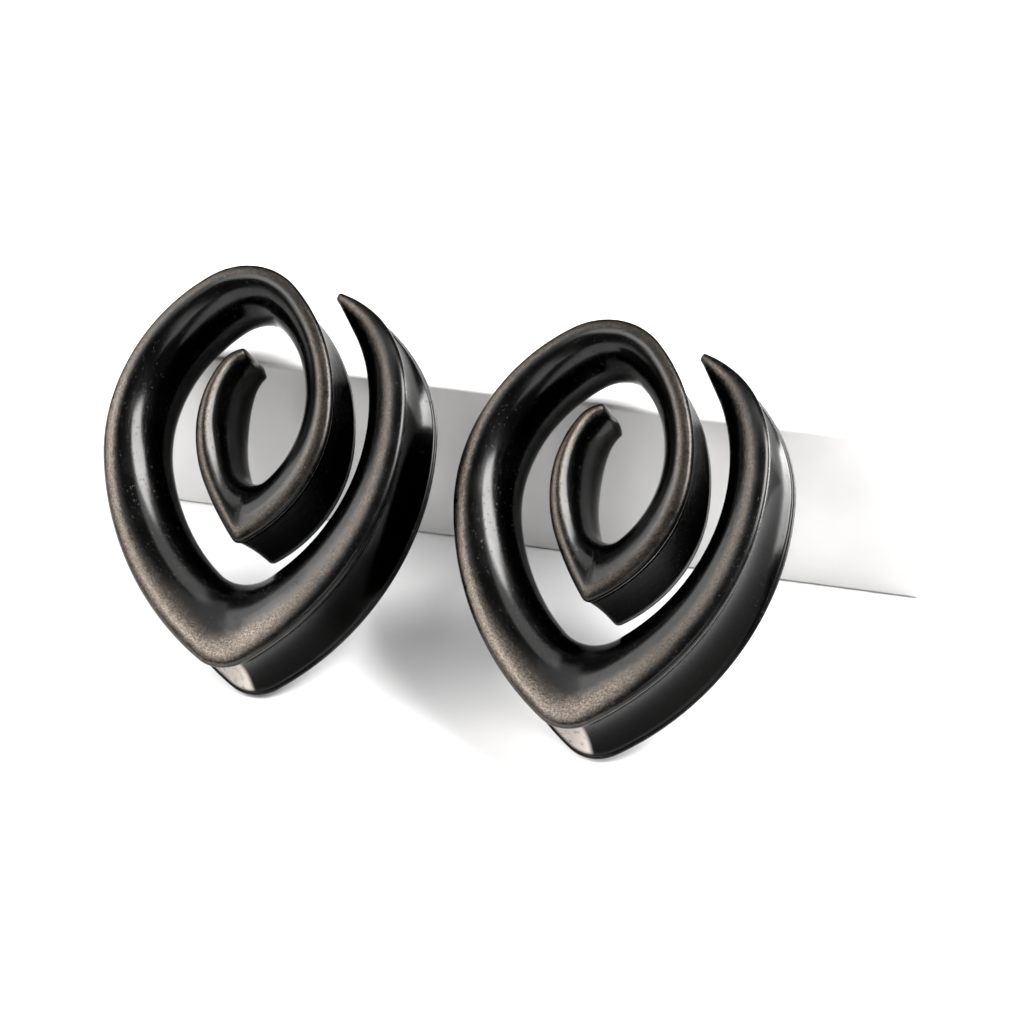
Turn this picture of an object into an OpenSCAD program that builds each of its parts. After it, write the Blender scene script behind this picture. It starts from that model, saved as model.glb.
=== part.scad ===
// Pair of ear weights leaning on a plain display block.
// Each ear weight is one cast strip that makes a pointed spiral of almost two turns,
// with a saddle groove on its outer side and a rounded bevel on its inner side.
// Units are mm, +Z is up, +X runs along the block and the front is towards -Y.

/* [Ear weights] */
// Depth of the strip from its front lip to its back lip, where it is fully open
strip_depth = 12; // [10:0.1:13]
// Width of the flat rim along each lip
rim_w = 0.7; // [0.4:0.05:0.9]
// Depth of the saddle groove on the outer pass
groove_depth = 2.1; // [1.2:0.1:2.5]
// Depth of the hollow on the inner pass
inner_groove_depth = 0.3; // [0.1:0.1:1.2]
// How far the back lip stands outside the front lip on the outer pass
back_lip_out = 0.2; // [0:0.05:0.5]
// How far the back lip is drawn in from the front lip on the inner pass
back_lip_in = 1; // [0:0.1:1.4]
// Length over which the claw at the outer tip opens to the full depth
claw_len = 20; // [14:0.5:26]
// Depth of the strip at the outer tip
claw_depth = 2.3; // [1.6:0.1:4]
// Length over which the strip gets shallower towards its inner end
heel_len = 12; // [6:0.5:18]
// Depth of the strip at its inner end
heel_depth = 7.5; // [6:0.1:10]

/* [Display block] */
// Length of the block
block_len = 97; // [94:0.5:120]
// Depth of the block from front to back
block_depth = 22.5; // [18:0.5:40]
// Height of the block
block_h = 22.5; // [20:0.5:25]
// Radius of the long edges of the block
block_edge = 0.4; // [0.2:0.1:1]

/* [Standing] */
// Where the right ear weight stands along the block, from its middle
right_x = 14.9; // [13:0.1:17]
// How far the face of the right ear weight looks up
right_lean = 53.9; // [52:0.1:55]
// How far the right ear weight is turned to its left
right_yaw = 20.4; // [18:0.1:23]
// Where the left ear weight stands along the block, from its middle
left_x = -25.5; // [-28:0.1:-24]
// How far the face of the left ear weight looks up
left_lean = 52.5; // [51:0.1:54]
// How far the left ear weight is turned to its left
left_yaw = 15; // [13:0.1:18]
// Turn of the outline within the plane of each ear weight
upright_turn = 1.5; // [0:0.1:4]
// Clear gap between each back lip and the top front edge of the block
seat_gap = 0.25; // [0.2:0.05:0.4]

/* [Hidden] */

// Front lip seen from the front, clockwise from the outer tip.
// Columns are the heading at the end of the arc and its radius.
LIP_START = [1.7, -0.1];
LIP_HEADING = -7.5;
LIP_TURN = 0;
LIP_RADIUS = 1;
LIP = [
    [-69.8, 18.6],
    [-134.3, 32.5],
    [-200.8, 5.2],
    [-244.4, 38.2],
    [-313.7, 22],
    [-391.1, 8.8],
    [-433.9, 23.8],
    [-496.5, 17.2],
    [-576.4, 1],
    [-587.8, 41.4],
    [-640, 17.6],
    [-686, 3.6]
];

// Crest of the inner side at mid depth, clockwise from the outer tip, in the same columns.
CREST_START = [1.6, -1.2];
CREST_HEADING = -42.9;
CREST = [
    [-43.9, 284],
    [-129.7, 22.2],
    [-205.5, 5.6],
    [-216.1, 23.5],
    [-239, 28.7],
    [-309.8, 16],
    [-386.3, 4.6],
    [-429, 14.3],
    [-477.1, 12.5],
    [-591, 2.2],
    [-618, 19.7],
    [-670, 7]
];

// Point inside the middle hole from which every section looks outwards.
HUB = [-1, -17];

// Change of section along the front lip.
// Columns are the travel, the share of the outer groove, of the inner hollow,
// of the outer and of the inner setting of the back lip.
RUN_TRAVEL = 0;
RUN_GROOVE = 1;
RUN_HOLLOW = 2;
RUN_OUT = 3;
RUN_IN = 4;
RUN = [
    [0, 0.05, 0, 0, 0],
    [14, 0.7, 0, 1, 0],
    [28, 1, 0, 1, 0],
    [96, 1, 0, 1, 0],
    [130, 0, 1, 0, 1],
    [176, 0, 1, 0, 1],
    [195, 0, 0.1, 0, 0.2]
];

// Sampling of the outline and number of sections and of points in a section.
FINE_STEP = 0.5;
FINE_TURN = 4;
SECTIONS = 100;
GROOVE_STEPS = 8;
BEVEL_STEPS = 16;
LEN_WEIGHT = 2.5;
TURN_WEIGHT = 18;
// Rounded noses of both ends, as distance beyond the end and share of the section.
NOSE = [[0.45, 0.35], [0.3, 0.75]];

function wrap(a) = a - 360 * round(a / 360);
function arc_to(p, h, e, r) = p + r * [sin(h) - sin(e), cos(e) - cos(h)];
function arc_len(h, e, r) = (h - e) * PI / 180 * r;

// Joints of a chain of arcs as x, y, heading and travel.
function joints(rows, p, h, s, i = 0) =
    i == len(rows) ? [[p.x, p.y, h, s]]
    : let (e = rows[i][LIP_TURN], r = rows[i][LIP_RADIUS])
        concat([[p.x, p.y, h, s]], joints(rows, arc_to(p, h, e, r), e, s + arc_len(h, e, r), i + 1));

// Fine points of a chain of arcs as x, y, heading and travel.
function fine(rows, p, h) =
    let (J = joints(rows, p, h, 0))
    [for (i = [0:len(rows) - 1])
        let (a = J[i], b = J[i + 1], r = rows[i][LIP_RADIUS],
            n = ceil(max((a[2] - b[2]) / FINE_TURN, (b[3] - a[3]) / FINE_STEP)))
        for (k = [(i == 0 ? 0 : 1):n])
            let (e = a[2] + (b[2] - a[2]) * k / n, q = arc_to([a.x, a.y], a[2], e, r))
            [q.x, q.y, e, a[3] + (b[3] - a[3]) * k / n]];

// Clockwise sweep about the hub, counted from the direction of the outer tip.
function bearing(q) = atan2(q.y - HUB.y, q.x - HUB.x);
REF = bearing(LIP_START);
function sweeps(F) =
    [for (i = 0, t = wrap(REF - bearing(F[0])); i < len(F);
        i = i + 1, t = i < len(F) ? t + wrap(bearing(F[i - 1]) - bearing(F[i])) : t) t];
function column(F, T, c) = [for (i = [0:len(F) - 1]) [T[i], F[i][c]]];

LIP_F = fine(LIP, LIP_START, LIP_HEADING);
LIP_T = sweeps(LIP_F);
CREST_F = fine(CREST, CREST_START, CREST_HEADING);
CREST_T = sweeps(CREST_F);
LIP_X = column(LIP_F, LIP_T, 0);
LIP_Y = column(LIP_F, LIP_T, 1);
LIP_H = column(LIP_F, LIP_T, 2);
LIP_S = column(LIP_F, LIP_T, 3);
CREST_X = column(CREST_F, CREST_T, 0);
CREST_Y = column(CREST_F, CREST_T, 1);
CREST_H = column(CREST_F, CREST_T, 2);
SWEEP_END = LIP_T[len(LIP_T) - 1];
TRAVEL_END = LIP_F[len(LIP_F) - 1][3];

// Sections are spread evenly over the length and the turns of both curves.
function effort(t) = lookup(t, LIP_S) / LEN_WEIGHT - lookup(t, LIP_H) / TURN_WEIGHT
    - lookup(t, CREST_H) / TURN_WEIGHT;
EFFORT = [for (t = LIP_T) [effort(t), t]];
EFFORT_0 = EFFORT[0][0];
EFFORT_1 = EFFORT[len(EFFORT) - 1][0];
STATIONS = [for (i = [0:SECTIONS - 1])
    lookup(EFFORT_0 + (EFFORT_1 - EFFORT_0) * i / (SECTIONS - 1), EFFORT)];

// Depth of the strip at a travel along the front lip.
function opening_share(s) = s < claw_len ? sin(90 * s / claw_len) : 1;
function heel_share(s) = s > TRAVEL_END - heel_len ? pow((s - TRAVEL_END + heel_len) / heel_len, 2) : 0;
function depth(s) = claw_depth + (strip_depth - claw_depth) * opening_share(s)
    - (strip_depth - heel_depth) * heel_share(s);
function run(s, c) = lookup(s, [for (r = RUN) [r[RUN_TRAVEL], r[c]]]);
function groove(s) = groove_depth * run(s, RUN_GROOVE) + inner_groove_depth * run(s, RUN_HOLLOW);
function back_set(s) = back_lip_out * run(s, RUN_OUT) - back_lip_in * run(s, RUN_IN);

// Closed outline of a section as distance from the crest and height over mid depth.
function section(w, s) =
    let (h = depth(s) / 2, g = groove(s), b = back_set(s), rim = min(rim_w, 0.45 * w))
    concat(
        [for (k = [0:GROOVE_STEPS])
            let (v = 1 - 2 * k / GROOVE_STEPS)
            [w + b * (1 - v) / 2 - g * (1 - v * v), v * h]],
        [for (k = [0:BEVEL_STEPS])
            let (f = -90 + 180 * k / BEVEL_STEPS, reach = w - rim + (f < 0 ? b : 0))
            [reach * (1 - cos(f)), h * sin(f)]]);

// Section at a sweep, moved along the strip and shrunk about its middle.
function station(t, ahead, size) =
    let (o = [lookup(t, LIP_X), lookup(t, LIP_Y)], c = [lookup(t, CREST_X), lookup(t, CREST_Y)],
        w = norm(o - c), u = (o - c) / w, along = [u.y, -u.x])
    [for (q = section(w, lookup(t, LIP_S)))
        let (d = w / 2 + (q[0] - w / 2) * size, p = c + u * d + along * ahead)
        [p.x, p.y, q[1] * size]];

RINGS = concat(
    [for (r = NOSE) station(0, -r[0], r[1])],
    [for (t = STATIONS) station(t, 0, 1)],
    [for (i = [len(NOSE) - 1:-1:0]) station(SWEEP_END, NOSE[i][0], NOSE[i][1])]);
RING_N = len(RINGS[0]);
SKIN = [for (r = RINGS) for (p = r) p];

// Points turned as the ear weight stands.
function stood(p, lean, yaw) =
    let (x = p.x * cos(upright_turn) - p.y * sin(upright_turn),
        y = p.x * sin(upright_turn) + p.y * cos(upright_turn),
        a = 90 - lean, f = y * cos(a) - p.z * sin(a), z = y * sin(a) + p.z * cos(a))
    [x * cos(yaw) + f * sin(yaw), f * cos(yaw) - x * sin(yaw), z];

// Shift that sets the lowest point on the table and the back lip just before the block.
function shift(lean, yaw, foot_x) =
    let (pts = [for (p = SKIN) stood(p, lean, yaw)], low = min([for (p = pts) p.z]),
        foot = [for (p = pts) if (p.z == low) p][0], top = block_h + low,
        rail = [for (r = RINGS) stood(r[GROOVE_STEPS], lean, yaw)],
        reach = max([for (i = [0:len(rail) - 2])
            let (a = rail[i], b = rail[i + 1])
            if ((a.z - top) * (b.z - top) < 0) a.y + (b.y - a.y) * (top - a.z) / (b.z - a.z)]),
        round_off = block_edge * (sin(lean) + cos(lean) - 1),
        clear = (seat_gap - round_off) / (cos(yaw) * cos(lean)))
    [foot_x - foot.x, -block_depth / 2 - clear - reach, -low];

// One ear weight as cast, in its own plane.
module spiral() {
    last = len(RINGS) - 1;
    sides = [for (i = [0:last - 1]) for (j = [0:RING_N - 1])
        let (k = (j + 1) % RING_N, a = i * RING_N, b = a + RING_N)
        each [[a + j, b + k, b + j], [a + j, a + k, b + k]]];
    front_cap = [for (j = [RING_N - 1:-1:0]) j];
    end_cap = [for (j = [0:RING_N - 1]) last * RING_N + j];
    polyhedron(points = SKIN, faces = concat(sides, [front_cap, end_cap]), convexity = 8);
}

module stand_up(lean, yaw, foot_x) {
    translate(shift(lean, yaw, foot_x))
        rotate([0, 0, -yaw])
            rotate([90 - lean, 0, 0])
                rotate([0, 0, upright_turn])
                    children();
}

module ear_weight_right() {
    color([0.05, 0.05, 0.05])
        stand_up(right_lean, right_yaw, right_x)
            spiral();
}

module ear_weight_left() {
    color([0.05, 0.05, 0.05])
        stand_up(left_lean, left_yaw, left_x)
            spiral();
}

// Plain block with slightly rounded long edges.
module display_block() {
    color([0.86, 0.86, 0.86])
        translate([-block_len / 2, 0, block_h / 2])
            rotate([90, 0, 90])
                linear_extrude(block_len)
                    block_end();
}

// End face of the block, centred.
module block_end() {
    y = block_depth / 2 - block_edge;
    z = block_h / 2 - block_edge;
    square([2 * y, block_h], center = true);
    square([block_depth, 2 * z], center = true);
    for (i = [-1, 1])
        for (j = [-1, 1])
            translate([i * y, j * z])
                circle(r = block_edge, $fn = 32);
}

ear_weight_right();
ear_weight_left();
display_block();
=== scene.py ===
import math

import bmesh
import bpy
import numpy as np
from mathutils import Matrix, Vector


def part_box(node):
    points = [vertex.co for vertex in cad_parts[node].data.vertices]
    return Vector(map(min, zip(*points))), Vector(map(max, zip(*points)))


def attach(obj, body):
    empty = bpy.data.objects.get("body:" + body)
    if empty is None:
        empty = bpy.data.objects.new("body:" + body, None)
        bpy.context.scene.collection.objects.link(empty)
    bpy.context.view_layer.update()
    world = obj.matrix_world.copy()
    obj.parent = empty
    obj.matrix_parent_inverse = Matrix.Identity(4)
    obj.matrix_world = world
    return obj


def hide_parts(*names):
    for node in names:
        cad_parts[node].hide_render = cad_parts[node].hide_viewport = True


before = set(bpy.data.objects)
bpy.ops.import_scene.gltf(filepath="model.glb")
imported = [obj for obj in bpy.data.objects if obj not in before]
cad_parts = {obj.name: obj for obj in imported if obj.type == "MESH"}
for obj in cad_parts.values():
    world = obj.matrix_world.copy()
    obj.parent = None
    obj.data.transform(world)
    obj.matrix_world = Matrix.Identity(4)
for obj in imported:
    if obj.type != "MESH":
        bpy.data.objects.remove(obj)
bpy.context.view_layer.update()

# Sizes of the part in mm, as in its source
STRIP_DEPTH = 12.0
RIM_W = 0.7
GROOVE_DEPTH = 2.1
INNER_GROOVE_DEPTH = 0.3
BACK_LIP_OUT = 0.2
BACK_LIP_IN = 1.0
CLAW_LEN = 20.0
CLAW_DEPTH = 2.3
HEEL_LEN = 12.0
HEEL_DEPTH = 7.5
BLOCK_EDGE = 0.4
# Lean and turn of each ear weight and turn of the outline in its own plane, in degrees
RIGHT = dict(lean=53.9, yaw=20.4)
LEFT = dict(lean=52.5, yaw=15.0)
UPRIGHT_TURN = 1.5

# Chains of arcs from the outer tip: heading at the end in degrees and radius in mm
LIP_START = (1.7, -0.1)
LIP_HEADING = -7.5
LIP = [(-69.8, 18.6), (-134.3, 32.5), (-200.8, 5.2), (-244.4, 38.2), (-313.7, 22.0), (-391.1, 8.8),
       (-433.9, 23.8), (-496.5, 17.2), (-576.4, 1.0), (-587.8, 41.4), (-640.0, 17.6), (-686.0, 3.6)]
CREST_START = (1.6, -1.2)
CREST_HEADING = -42.9
CREST = [(-43.9, 284.0), (-129.7, 22.2), (-205.5, 5.6), (-216.1, 23.5), (-239.0, 28.7), (-309.8, 16.0),
         (-386.3, 4.6), (-429.0, 14.3), (-477.1, 12.5), (-591.0, 2.2), (-618.0, 19.7), (-670.0, 7.0)]
# Point in the middle hole from which every section looks outwards
HUB = (-1.0, -17.0)

# Travel along the front lip, then the shares of the outer groove, of the inner hollow
# and of the outer and inner setting of the back lip
RUN_GROOVE, RUN_HOLLOW, RUN_OUT, RUN_IN = 1, 2, 3, 4
RUN = np.array([(0, 0.05, 0, 0, 0), (14, 0.7, 0, 1, 0), (28, 1, 0, 1, 0), (96, 1, 0, 1, 0),
                (130, 0, 1, 0, 1), (176, 0, 1, 0, 1), (195, 0, 0.1, 0, 0.2)], float)
# Rounded noses of both ends: distance beyond the end in mm and share of the section
NOSE = [(0.08, 0.95), (0.22, 0.8), (0.38, 0.55), (0.47, 0.3), (0.5, 0.12)]

# Number of sections and of steps in each stretch of a section
SECTIONS = 440
GROOVE_POINTS = 30
BEAD_POINTS = 20
BACK_BEAD_POINTS = 9
FILLET_POINTS = 4
OVER_POINTS = 2
BEVEL_POINTS = 56
# Width and height of the front bead and radius of the back bead, in mm
CROWN = 1.7
FRONT_ROUND = 0.85
BACK_ROUND = 0.35
# Angles at which the beads begin and end, in degrees
FRONT_BEAD = (90, -50)
BACK_BEAD = (40, -90)
# How far the groove stays off each bead and where its fillets aim, in bead sizes
FRONT_CLEAR, BACK_CLEAR = 2.4, 2.2
FRONT_AIM, BACK_AIM = 2.0, 1.6
FRONT_AIM_DROP = 0.1
# Passes and reach in points of the soft run from the crown into the bevel
SOFTEN_PASSES = 14
SOFTEN_BEFORE, SOFTEN_AFTER = 8, 7
# Evenness of the steps: 0 is even and 1 is closest at the ends
GROOVE_SHARP = 0.5
BEVEL_SHARP = 0.35
# Travel over which the strip rests on the ground, where the groove gets a painted reflection
REST_FROM = 59.4
REST_TO = 70.0

# Rounding of the block against the radius in the source, and its steps
BLOCK_SOFTER = 1.4
BLOCK_STEPS = 4


def arc_chain(rows, start, heading, step=0.1, turn_step=1.0):
    """Fine points of a chain of arcs: x, y, heading and travel."""
    x, y = start
    h0, s0 = heading, 0.0
    out = [(x, y, h0, 0.0)]
    for h1, r in rows:
        turn = h0 - h1
        length = math.radians(turn) * r
        n = max(int(turn / turn_step), int(length / step), 4)
        for k in range(1, n + 1):
            h = h0 - turn * k / n
            a, b = math.radians(h0), math.radians(h)
            out.append((x + r * (math.sin(a) - math.sin(b)), y + r * (math.cos(b) - math.cos(a)),
                        h, s0 + length * k / n))
        x, y = out[-1][:2]
        h0, s0 = h1, s0 + length
    return np.array(out)


def sweep(chain):
    """Clockwise sweep of the points about the hub, from the direction of the outer tip."""
    ang = np.degrees(np.unwrap(np.arctan2(chain[:, 1] - HUB[1], chain[:, 0] - HUB[0])))
    ref = math.degrees(math.atan2(LIP_START[1] - HUB[1], LIP_START[0] - HUB[0]))
    return ref - ang


lip = arc_chain(LIP, LIP_START, LIP_HEADING)
crest = arc_chain(CREST, CREST_START, CREST_HEADING)
lip_t, crest_t = sweep(lip), sweep(crest)
TRAVEL_END = lip[-1, 3]


def depth(s):
    """Depth of the strip at a travel along the front lip."""
    u = np.clip(s / CLAW_LEN, 0, 1)
    e = np.clip((s - TRAVEL_END + HEEL_LEN) / HEEL_LEN, 0, 1)
    opened = CLAW_DEPTH + (STRIP_DEPTH - CLAW_DEPTH) * np.sin(u * math.pi / 2)
    return opened - (STRIP_DEPTH - HEEL_DEPTH) * e ** 2


def run(s, c):
    """A column of the run table at a travel, read straight between its rows."""
    i = int(np.clip(np.searchsorted(RUN[:, 0], s, "right") - 1, 0, len(RUN) - 2))
    a, b = RUN[i], RUN[i + 1]
    u = float(np.clip((s - a[0]) / (b[0] - a[0]), 0, 1))
    return a[c] + (b[c] - a[c]) * u


def spaced(n, sharp):
    """n + 1 values from 0 to 1, closer together at both ends."""
    u = np.linspace(0, 1, n + 1)
    return (1 - sharp) * u + sharp * (1 - np.cos(math.pi * u)) / 2


def bend(a, c, b, n):
    """Points of a rounded corner from a over c to b, without its ends."""
    u = np.linspace(0, 1, n + 2)[1:-1, None]
    return (1 - u) ** 2 * a + 2 * u * (1 - u) * c + u ** 2 * b


def arc(x, z, rx, rz, f0, f1, n):
    """n + 1 points of an ellipse about x, z between two angles."""
    f = np.radians(np.linspace(f0, f1, n + 1))
    return np.stack([x + rx * np.cos(f), z + rz * np.sin(f)], 1)


def section(w, s):
    """Rounded outline of a section: distance from the crest and height, with a bead along each lip."""
    h = depth(s) / 2
    g = GROOVE_DEPTH * run(s, RUN_GROOVE) + INNER_GROOVE_DEPTH * run(s, RUN_HOLLOW)
    b = BACK_LIP_OUT * run(s, RUN_OUT) - BACK_LIP_IN * run(s, RUN_IN)
    rim = min(RIM_W, 0.45 * w)
    rx, rf = min(CROWN, 0.3 * w), min(FRONT_ROUND, 0.3 * h)
    rb = min(BACK_ROUND, 0.2 * h, 0.2 * w)

    def saddle(v):
        return np.stack([w + b * (1 - v) / 2 - g * (1 - v * v), v * h], -1)

    bead = arc(w - rx, h - rf, rx, rf, *FRONT_BEAD, BEAD_POINTS)
    back = arc(w + b - rb, -h + rb, rb, rb, *BACK_BEAD, BACK_BEAD_POINTS)
    span = 2 - (FRONT_CLEAR * rf + BACK_CLEAR * rb) / h
    groove = saddle(1 - FRONT_CLEAR * rf / h - span * spaced(GROOVE_POINTS, GROOVE_SHARP))
    aim = np.array([saddle(1 - FRONT_AIM * rf / h)[0], bead[-1, 1] - FRONT_AIM_DROP * rf])
    under = bend(bead[-1], aim, groove[0], FILLET_POINTS)
    over = bend(groove[-1], saddle(-1 + BACK_AIM * rb / h), back[0], OVER_POINTS)
    top = math.acos(max(0.0, rx - rim) / (w - rim))
    a = -math.pi / 2 + (top + math.pi / 2) * spaced(BEVEL_POINTS, BEVEL_SHARP)
    reach = w - rim + np.where(a < 0, b, 0)
    rise = h * np.sin(a) / np.where(a < 0, 1.0, math.sin(top))
    inner = np.stack([reach * (1 - np.cos(a)), rise], 1)[1:-1]
    q = np.concatenate([groove, over, back, inner, bead, under])
    # The crown runs softly into the bevel
    i = len(q) - len(under) - len(bead)
    for _ in range(SOFTEN_PASSES):
        part = q[i - SOFTEN_BEFORE - 1:i + SOFTEN_AFTER + 1]
        q[i - SOFTEN_BEFORE:i + SOFTEN_AFTER] = (part[:-2] + 2 * part[1:-1] + part[2:]) / 4
    return q


def outline(t):
    """Points of the front lip and of the crest at a sweep, and the travel there."""
    o = np.array([np.interp(t, lip_t, lip[:, 0]), np.interp(t, lip_t, lip[:, 1])])
    c = np.array([np.interp(t, crest_t, crest[:, 0]), np.interp(t, crest_t, crest[:, 1])])
    return o, c, float(np.interp(t, lip_t, lip[:, 3]))


def station(t, ahead, size):
    """Section at a sweep, moved along the strip and shrunk about its middle."""
    o, c, s = outline(t)
    w = np.linalg.norm(o - c)
    u = (o - c) / w
    along = np.array([u[1], -u[0]])
    q = section(w, s)
    d = w / 2 + (q[:, 0] - w / 2) * size
    p = c + d[:, None] * u + along * ahead
    return np.column_stack([p, q[:, 1] * size]), q, w, s


# Sections are spread evenly over the length and the turns of both curves
grid = np.linspace(0, lip_t[-1], 4000)
effort = (np.interp(grid, lip_t, lip[:, 3]) / 2.5 - np.interp(grid, lip_t, lip[:, 2]) / 18
          - np.interp(grid, crest_t, crest[:, 2]) / 18)
stations = np.interp(np.linspace(effort[0], effort[-1], SECTIONS), effort, grid)


# Outermost points of both beads, counted from the end and from the start of a section
LIP_FROM_END = FILLET_POINTS + 1 + BEAD_POINTS * -FRONT_BEAD[1] // (FRONT_BEAD[0] - FRONT_BEAD[1])
BACK_LIP_POINT = GROOVE_POINTS + OVER_POINTS + 1 + BACK_BEAD_POINTS // 3


def spiral():
    """Rings of one ear weight in its own plane, with travel, across and lip distance of each point."""
    rings, info = [], []
    plan = [(0.0, -ahead, size) for ahead, size in NOSE[::-1]]
    plan += [(t, 0.0, 1.0) for t in stations]
    plan += [(lip_t[-1], ahead, size) for ahead, size in NOSE]
    for t, ahead, size in plan:
        p, q, w, s = station(t, ahead, size)
        step = np.linalg.norm(np.diff(np.vstack([q, q[:1]]), axis=0), axis=1)
        across = np.concatenate([[0], np.cumsum(step)[:-1]])
        total = step.sum()

        def gap(i):
            """Signed way round the section from its point i."""
            return (across - across[i] + total / 2) % total - total / 2

        df, db = gap(len(q) - LIP_FROM_END), gap(BACK_LIP_POINT)
        # Positive towards the bevel, negative towards the groove
        near = np.where(np.abs(df) < np.abs(db), -df, db)
        rings.append(p)
        info.append(np.column_stack([np.full(len(q), s + ahead), across, near, q[:, 1] / (depth(s) / 2)]))
    return np.array(rings), np.array(info)


RINGS, INFO = spiral()


def stood(p, lean, yaw):
    """Points turned as the ear weight stands."""
    r = math.radians(UPRIGHT_TURN)
    x = p[..., 0] * math.cos(r) - p[..., 1] * math.sin(r)
    y = p[..., 0] * math.sin(r) + p[..., 1] * math.cos(r)
    a = math.radians(90 - lean)
    f = y * math.cos(a) - p[..., 2] * math.sin(a)
    z = y * math.sin(a) + p[..., 2] * math.cos(a)
    g = math.radians(yaw)
    return np.stack([x * math.cos(g) + f * math.sin(g), f * math.cos(g) - x * math.sin(g), z], -1)


def make_mesh(name, pts, faces, attrs):
    """Smooth mesh object with attributes on its points."""
    me = bpy.data.meshes.new(name)
    me.from_pydata([tuple(p) for p in pts], [], faces)
    me.validate()
    for key, kind, values in attrs:
        field = "vector" if kind == "FLOAT_VECTOR" else "value"
        at = me.attributes.new(key, kind, "POINT")
        at.data.foreach_set(field, np.asarray(values, np.float32).ravel())
    me.polygons.foreach_set("use_smooth", [True] * len(me.polygons))
    me.update()
    ob = bpy.data.objects.new(name, me)
    bpy.context.scene.collection.objects.link(ob)
    return ob


def ear_weight(name, node, lean, yaw):
    """The fine ear weight, set in the box of the CAD node that it replaces."""
    low, high = [np.array(v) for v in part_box(node)]
    world = stood(RINGS, lean, yaw) / 1000.0
    flat = world.reshape(-1, 3)
    world = world + (low + high) / 2 - (flat.min(0) + flat.max(0)) / 2
    flat = world.reshape(-1, 3)
    world[..., 2] += max(0.0, low[2] - flat[:, 2].min())
    n_ring, n = RINGS.shape[:2]
    pts = list(world.reshape(-1, 3))
    info = list(INFO.reshape(-1, 4))
    faces = []
    for i in range(n_ring - 1):
        for j in range(n):
            k = (j + 1) % n
            faces.append((i * n + j, (i + 1) * n + j, (i + 1) * n + k, i * n + k))
    # Both ends close in a fan about their middle
    for ring, flip in ((0, True), (n_ring - 1, False)):
        c = world[ring].mean(0)
        pts.append(c)
        info.append(INFO[ring].mean(0))
        m = len(pts) - 1
        for j in range(n):
            k = (j + 1) % n
            a, b = ring * n + j, ring * n + k
            faces.append((m, a, b) if flip else (m, b, a))
    info = np.array(info)
    strip = np.column_stack([info[:, 0], info[:, 1], info[:, 3]])
    ob = make_mesh(name, pts, faces, [("strip", "FLOAT_VECTOR", strip), ("lip", "FLOAT", info[:, 2])])
    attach(ob, "root")
    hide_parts(node)
    return ob


def rounded_block(name, node):
    """Block with softly rounded edges and corners, as one closed mesh."""
    low, high = [np.array(v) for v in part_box(node)]
    bm = bmesh.new()
    bmesh.ops.create_cube(bm, size=1.0)
    for v in bm.verts:
        v.co = Vector([(low[i] + high[i]) / 2 + v.co[i] * (high[i] - low[i]) for i in range(3)])
    bmesh.ops.bevel(bm, geom=list(bm.edges), offset=BLOCK_EDGE / 1000.0 * BLOCK_SOFTER,
                    segments=BLOCK_STEPS, profile=0.5, affect="EDGES")
    bmesh.ops.triangulate(bm, faces=[f for f in bm.faces if len(f.verts) > 4])
    me = bpy.data.meshes.new(name)
    bm.to_mesh(me)
    bm.free()
    me.polygons.foreach_set("use_smooth", [True] * len(me.polygons))
    ob = bpy.data.objects.new(name, me)
    bpy.context.scene.collection.objects.link(ob)
    mod = ob.modifiers.new("normals", "WEIGHTED_NORMAL")
    mod.keep_sharp = True
    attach(ob, "root")
    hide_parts(node)
    return ob


class Nodes:
    """Small helper to build a node tree by name."""

    def __init__(self, name):
        self.mat = bpy.data.materials.new(name)
        self.mat.use_nodes = True
        self.tree = self.mat.node_tree
        self.bsdf = self.tree.nodes["Principled BSDF"]

    def add(self, kind, ins=None, **props):
        nd = self.tree.nodes.new(kind)
        for k, v in props.items():
            setattr(nd, k, v)
        for k, v in (ins or {}).items():
            self.put(nd.inputs[k], v)
        return nd

    def put(self, sock, v):
        if isinstance(v, bpy.types.NodeSocket):
            self.tree.links.new(v, sock)
        else:
            sock.default_value = v

    def math(self, op, a, b=0.0, c=0.0, clamp=False):
        nd = self.add("ShaderNodeMath", {0: a, 1: b, 2: c}, operation=op, use_clamp=clamp)
        return nd.outputs[0]

    def product(self, first, *others, clamp=False):
        for v in others:
            first = self.math("MULTIPLY", first, v, clamp=clamp)
        return first

    def total(self, base, *terms):
        """Base plus each value times its weight."""
        for value, weight in terms:
            base = self.math("MULTIPLY_ADD", value, weight, base)
        return base

    def span(self, v, a, b, c=0.0, d=1.0):
        """Smooth change from c to d while v goes from a to b."""
        nd = self.add("ShaderNodeMapRange", {0: v, 1: a, 2: b, 3: c, 4: d}, interpolation_type="SMOOTHSTEP")
        return nd.outputs[0]

    def stretch(self, v, a, b, c, d):
        """1 while v is between b and c, and 0 before a and after d."""
        return self.product(self.span(v, a, b), self.span(v, c, d, 1.0, 0.0))

    def mix(self, f, a, b):
        nd = self.add("ShaderNodeMix", {0: f, 6: a, 7: b}, data_type="RGBA")
        return nd.outputs[2]

    def scale(self, vec, xyz):
        nd = self.add("ShaderNodeMapping", {"Vector": vec, "Scale": xyz})
        return nd.outputs[0]

    def noise(self, vec, scale, detail=3.0, rough=0.55):
        nd = self.add("ShaderNodeTexNoise", {"Vector": vec, "Scale": scale, "Detail": detail,
                                            "Roughness": rough})
        return nd.outputs[0]

    def bump(self, height, strength, distance):
        nd = self.add("ShaderNodeBump", {"Height": height, "Strength": strength, "Distance": distance})
        self.put(self.bsdf.inputs["Normal"], nd.outputs[0])


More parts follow.
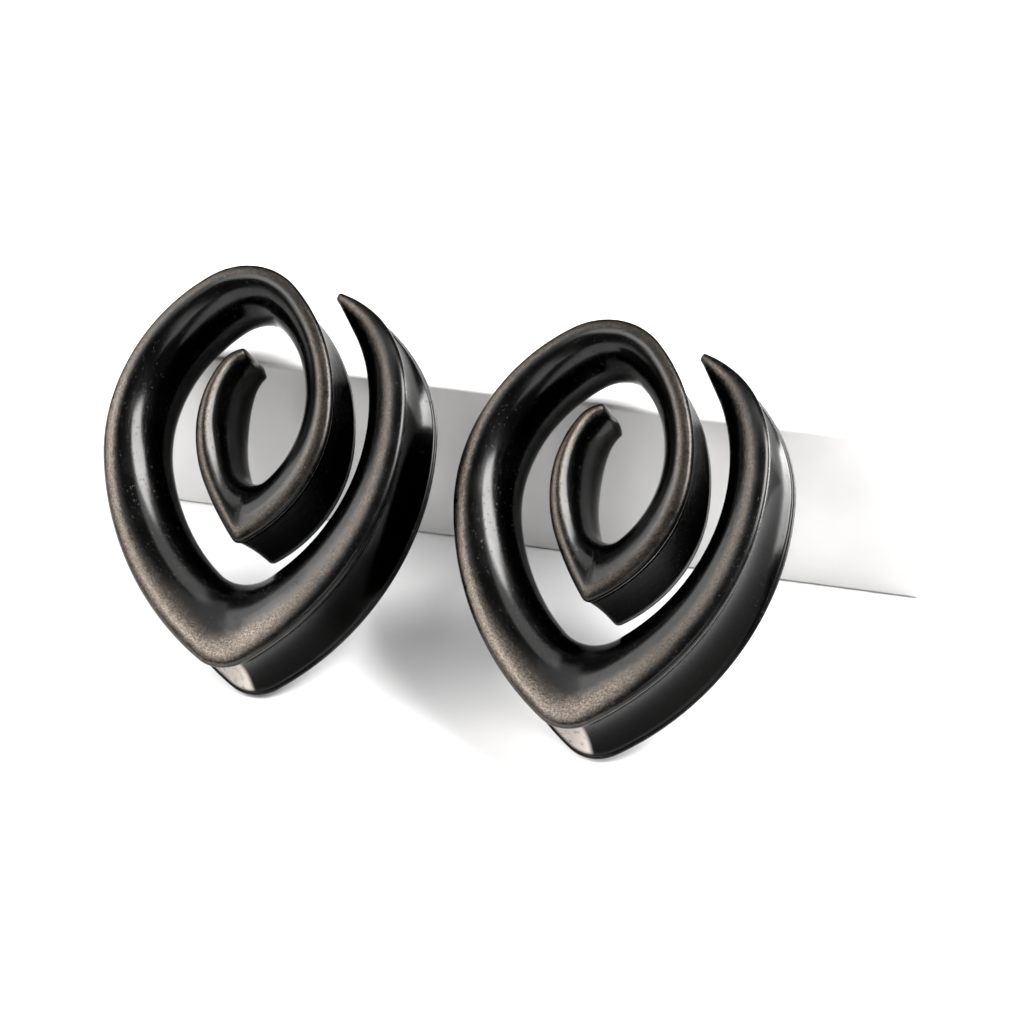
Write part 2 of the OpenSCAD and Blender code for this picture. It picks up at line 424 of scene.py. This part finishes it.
# Colours of the finishes, each pair from its dark to its light end
BLACK = (0.020, 0.0198, 0.0195, 1), (0.025, 0.0246, 0.0241, 1)
# Darker black, painted shade for the groove and the side walls
RECESS_SHADE_BLACK = (0.004, 0.004, 0.0039, 1)
BROWN = (0.026, 0.0215, 0.0178, 1), (0.090, 0.075, 0.062, 1)
# Bright metal for the painted reflection near the ground
FLOOR_REFLECTION_METAL = (0.52, 0.47, 0.43, 1)
WHITE = (0.62, 0.613, 0.605, 1), (0.68, 0.674, 0.665, 1)
# Lighter white for the painted edge highlight
WHITE_EDGE_HIGHLIGHT = (0.76, 0.755, 0.745, 1)
GROUND = (0.75, 0.747, 0.747, 1), (0.79, 0.787, 0.787, 1)


def plating():
    """Glossy black plating with a brown band along the rims, partly wear and partly painted sheen, painted
    shade in the groove and on the side walls, a painted reflection near the ground, and fine scratches.
    """
    m = Nodes("black_plating")
    strip = m.add("ShaderNodeAttribute", attribute_name="strip").outputs["Vector"]
    near = m.add("ShaderNodeAttribute", attribute_name="lip").outputs["Fac"]
    parts = m.add("ShaderNodeSeparateXYZ", {"Vector": strip}).outputs
    travel, height = parts["X"], parts["Z"]
    obj = m.add("ShaderNodeTexCoord").outputs["Object"]
    cloud = m.noise(obj, 260.0, 4.0, 0.6)
    blotch = m.noise(obj, 1300.0, 3.0, 0.6)
    speck = m.noise(obj, 4200.0, 3.0, 0.65)
    along = m.noise(m.scale(strip, (0.25, 6.0, 1.0)), 1.0, 3.0, 0.6)
    fine = m.noise(m.scale(strip, (0.8, 22.0, 1.0)), 1.0, 2.0, 0.5)
    haze = m.span(cloud, 0.35, 0.7)

    # Regions: stretches of the travel, the outer side, and the outer side of the inner pass
    right_arm = m.stretch(travel, 2.0, 12.0, 46.0, 60.0)
    bottom = m.stretch(travel, 44.0, 58.0, 66.0, 86.0)
    arch = m.stretch(travel, 96.0, 110.0, 126.0, 138.0)
    groove = m.span(near, -1.1, -0.4, 1.0, 0.0)
    wall = m.product(groove, m.span(travel, 104.0, 120.0))

    # The brown band lies on the crown of the rim, wide round the outer point and narrow over the arch; it
    # is partly wear and partly painted sheen, widest at the bottom
    wobble = m.total(m.math("SUBTRACT", cloud, 0.5), (m.math("SUBTRACT", blotch, 0.5), 1.3))
    centre = m.total(1.35, (right_arm, 1.2), (bottom, 0.7), (arch, -0.3))
    half = m.total(0.85, (bottom, 1.1), (arch, -0.3))
    off = m.math("ABSOLUTE", m.math("SUBTRACT", m.math("ADD", near, wobble), centre))
    band = m.product(m.span(m.math("DIVIDE", off, half), 0.1, 1.45, 1.0, 0.0), m.span(near, 0.1, 0.6))
    grain = m.span(m.total(0.0, (speck, 0.6), (fine, 0.4)), 0.32, 0.70)
    wear_and_sheen = m.product(band, m.total(0.55, (grain, 0.45)), clamp=True)
    # Painted sheen: the brown band is lighter at the bottom and darker on the right arm and over the arch
    painted_sheen_factor = m.total(1.25, (bottom, 0.5), (right_arm, -0.65), (arch, -0.45),
                    (m.span(travel, 122.0, 136.0), -0.5))
    brown = m.add("ShaderNodeVectorMath", {0: m.mix(grain, *BROWN), 1: painted_sheen_factor},
                  operation="MULTIPLY").outputs[0]

    # Bright bare metal in the groove where the strip rests on the ground, as a painted reflection of the
    # lit floor
    ground_reflection_patch = m.product(m.stretch(travel, REST_FROM, REST_FROM + 0.8, REST_TO - 4.0, REST_TO + 3.0),
                     m.span(near, -1.0, -0.4, 1.0, 0.0), m.span(blotch, 0.2, 0.45))
    # Painted shade: the groove and the side wall of the inner pass get a darker black than the face
    black = m.mix(wall, m.mix(groove, m.mix(haze, *BLACK), RECESS_SHADE_BLACK), RECESS_SHADE_BLACK)
    m.put(m.bsdf.inputs["Base Color"], m.mix(ground_reflection_patch, m.mix(wear_and_sheen, black, brown), FLOOR_REFLECTION_METAL))
    m.bsdf.inputs["Metallic"].default_value = 1.0

    # Painted shade: the reflection is dimmed far inside the strip, in the groove and on the side walls
    deep_painted_shade = m.product(m.span(height, 0.0, 0.6, 1.0, 0.0), m.span(near, 0.0, 0.5))
    wall_painted_shade = m.product(wall, m.span(travel, 146.0, 160.0, 0.56, 0.3))
    m.put(m.bsdf.inputs["Specular Tint"], m.total(0.9, (groove, -0.12), (deep_painted_shade, -0.45), (wall_painted_shade, -1.0)))
    face = m.total(m.span(near, 0.6, 5.0, 0.24, 0.15), (haze, 0.04), (wear_and_sheen, 0.10))
    rough = m.total(m.product(face, m.math("SUBTRACT", 1.0, groove)), (groove, 0.14), (wall, 0.12),
                    (m.span(along, 0.5, 0.75), 0.04))
    m.put(m.bsdf.inputs["Roughness"], rough)

    # Fine grain on the brown band, slow waves and a few pits
    texture = m.product(m.total(0.0, (speck, 0.35), (fine, 0.65)), m.total(0.12, (band, 0.88)))
    pit = m.span(m.noise(obj, 3200.0, 2.0, 0.5), 0.66, 0.74)
    m.bump(m.total(texture, (m.noise(obj, 90.0, 2.0), 1.2), (pit, -0.8)), 0.35, 0.00006)
    return m.mat


def block_paint():
    """Satin white block with faint mottling and a painted highlight along its edges."""
    m = Nodes("block_paint")
    obj = m.add("ShaderNodeTexCoord").outputs["Object"]
    cloud = m.noise(obj, 45.0, 4.0, 0.6)
    grain = m.noise(obj, 1800.0, 3.0, 0.6)
    # Painted highlight: the rounded edges are made lighter
    edge_highlight = m.span(m.add("ShaderNodeNewGeometry").outputs["Pointiness"], 0.53, 0.62)
    base = m.mix(m.span(cloud, 0.3, 0.7), *WHITE)
    m.put(m.bsdf.inputs["Base Color"], m.mix(edge_highlight, base, WHITE_EDGE_HIGHLIGHT))
    m.put(m.bsdf.inputs["Roughness"], m.span(grain, 0.2, 0.8, 0.42, 0.56))
    m.bump(m.total(grain, (cloud, 0.4)), 0.25, 0.00005)
    return m.mat


def floor_paint():
    """Matt pale ground with a faint cloud."""
    m = Nodes("floor_paint")
    obj = m.add("ShaderNodeTexCoord").outputs["Object"]
    m.put(m.bsdf.inputs["Base Color"], m.mix(m.noise(obj, 6.0, 2.0), *GROUND))
    m.bsdf.inputs["Roughness"].default_value = 0.6
    return m.mat


metal = plating()
right = ear_weight("weight_right", "ear_weight_right", **RIGHT)
left = ear_weight("weight_left", "ear_weight_left", **LEFT)
for ob in (right, left):
    ob.data.materials.append(metal)
block = rounded_block("leaning_block", "display_block")
block.data.materials.append(block_paint())

# Plain pale floor, just under the part
FLOOR_HALF = 4.0
FLOOR_DROP = 0.00002
fm = bpy.data.meshes.new("floor")
corners = [(-1, -1), (1, -1), (1, 1), (-1, 1)]
fm.from_pydata([(x * FLOOR_HALF, y * FLOOR_HALF, 0) for x, y in corners], [], [(0, 1, 2, 3)])
floor = bpy.data.objects.new("floor", fm)
floor.location.z = -FLOOR_DROP
bpy.context.scene.collection.objects.link(floor)
floor.data.materials.append(floor_paint())

# Camera at the photograph's angle
ELEV, TURN = math.radians(35.9), math.radians(12.4)
FOCAL_PX, PX_PER_MM = 3200.0, 7.924
FRAME_PX, SENSOR_MM = 1024, 36.0
AXIS_PX = (519.1, 487.8)
AIM = Vector((-0.00365, 0.00075, 0.0))
ce, se, ct, st = math.cos(ELEV), math.sin(ELEV), math.cos(TURN), math.sin(TURN)
right_v = Vector((ct, st, 0))
up_v = Vector((-st * se, ct * se, ce))
back_v = Vector((st * ce, -ct * ce, se))
cam_data = bpy.data.cameras.new("camera")
cam_data.sensor_width = SENSOR_MM
cam_data.lens = FOCAL_PX / FRAME_PX * SENSOR_MM
cam_data.shift_x = (FRAME_PX / 2 - AXIS_PX[0]) / FRAME_PX
cam_data.shift_y = (AXIS_PX[1] - FRAME_PX / 2) / FRAME_PX
cam_data.clip_start = 0.01
cam = bpy.data.objects.new("camera", cam_data)
bpy.context.scene.collection.objects.link(cam)
turn_m = Matrix((right_v, up_v, back_v)).transposed()
cam.matrix_world = Matrix.Translation(AIM + back_v * (FOCAL_PX / PX_PER_MM / 1000.0)) @ turn_m.to_4x4()
bpy.context.scene.camera = cam

# Middle of the lit things and distance of the lights from it, in metres
MID = Vector((-0.005, -0.03, 0.0))
LIGHT_DISTANCE = 1.3


def softbox(name, azimuth, elevation, wide, high, radiance):
    """A rectangular softbox seen from the object in a direction, with its angular size in degrees."""
    az, el = math.radians(azimuth), math.radians(elevation)
    way = Vector((math.cos(el) * math.sin(az), math.cos(el) * math.cos(az), math.sin(el)))
    d = bpy.data.lights.new(name, "AREA")
    d.shape = "RECTANGLE"
    d.size = 2 * LIGHT_DISTANCE * math.tan(math.radians(wide / 2))
    d.size_y = 2 * LIGHT_DISTANCE * math.tan(math.radians(high / 2))
    d.energy = radiance * math.pi * d.size * d.size_y
    ob = bpy.data.objects.new(name, d)
    bpy.context.scene.collection.objects.link(ob)
    ob.location = MID + way * LIGHT_DISTANCE
    ob.rotation_euler = (-way).to_track_quat("-Z", "Y").to_euler()


# Name, azimuth, elevation, width, height and radiance.
# Azimuth 0 is behind the object, 90 to its right, 180 in front and 270 to its left.
SOFTBOXES = [
    ("key", 82, 54, 38, 25, 28.0),
    ("key_high", 35, 68, 45, 22, 3.0),
    ("left_wall", 272, 38, 46, 38, 5.0),
    ("left_core", 266, 38, 26, 18, 7.0),
    ("left_high", 285, 66, 50, 26, 1.8),
    ("front_left", 226, 41, 28, 22, 8.0),
    ("front_card", 152, 25, 24, 20, 3.5),
    ("rear_strip", 60, 6, 40, 12, 52.0),
    ("rear_high", 58, 22, 24, 16, 3.0),
]
for row in SOFTBOXES:
    softbox(*row)

world = bpy.data.worlds.new("studio")
world.use_nodes = True
world.node_tree.nodes["Background"].inputs[0].default_value = (1, 1, 1, 1)
world.node_tree.nodes["Background"].inputs[1].default_value = 0.1
bpy.context.scene.world = world
bpy.context.scene.view_settings.view_transform = "Standard"
